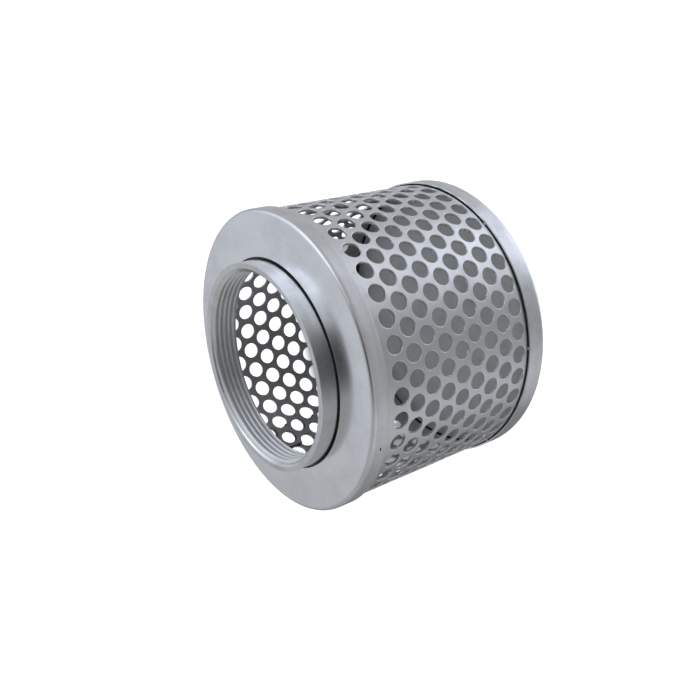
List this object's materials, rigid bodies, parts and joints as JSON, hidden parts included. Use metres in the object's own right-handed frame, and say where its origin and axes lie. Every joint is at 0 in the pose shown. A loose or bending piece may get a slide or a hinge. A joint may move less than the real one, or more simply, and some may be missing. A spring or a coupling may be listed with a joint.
{
  "type": "suction strainer",
  "caption": "Round-hole suction strainer for a pump intake: a perforated steel basket with a solid pressed bottom and a female-threaded pipe collar.",
  "frame": {"origin": "centre of the bottom cap's underside, which the strainer stands on", "axes": "+Z along the strainer's axis, out of the collar's mouth; +X through a column of holes in the even rows"},
  "size_m": [0.1774, 0.1774, 0.1383],
  "materials": {
    "collar_steel": "turned steel, zinc plated",
    "top_cap_sheet": "pressed sheet steel, bright zinc plated",
    "basket_sheet": "punched sheet steel, bright zinc plated",
    "bottom_cap_sheet": "pressed sheet steel, bright zinc plated",
    "weld_metal": "weld bead under zinc plating"
  },
  "bodies": {
    "root": {"threaded_collar": "collar_steel", "top_cap": "top_cap_sheet", "perforated_shell": "basket_sheet", "bottom_cap": "bottom_cap_sheet", "collar_weld": "weld_metal", "top_cap_welds": "weld_metal", "bottom_cap_welds": "weld_metal", "shell_seam_welds": "weld_metal"}
  },
  "joints": []
}
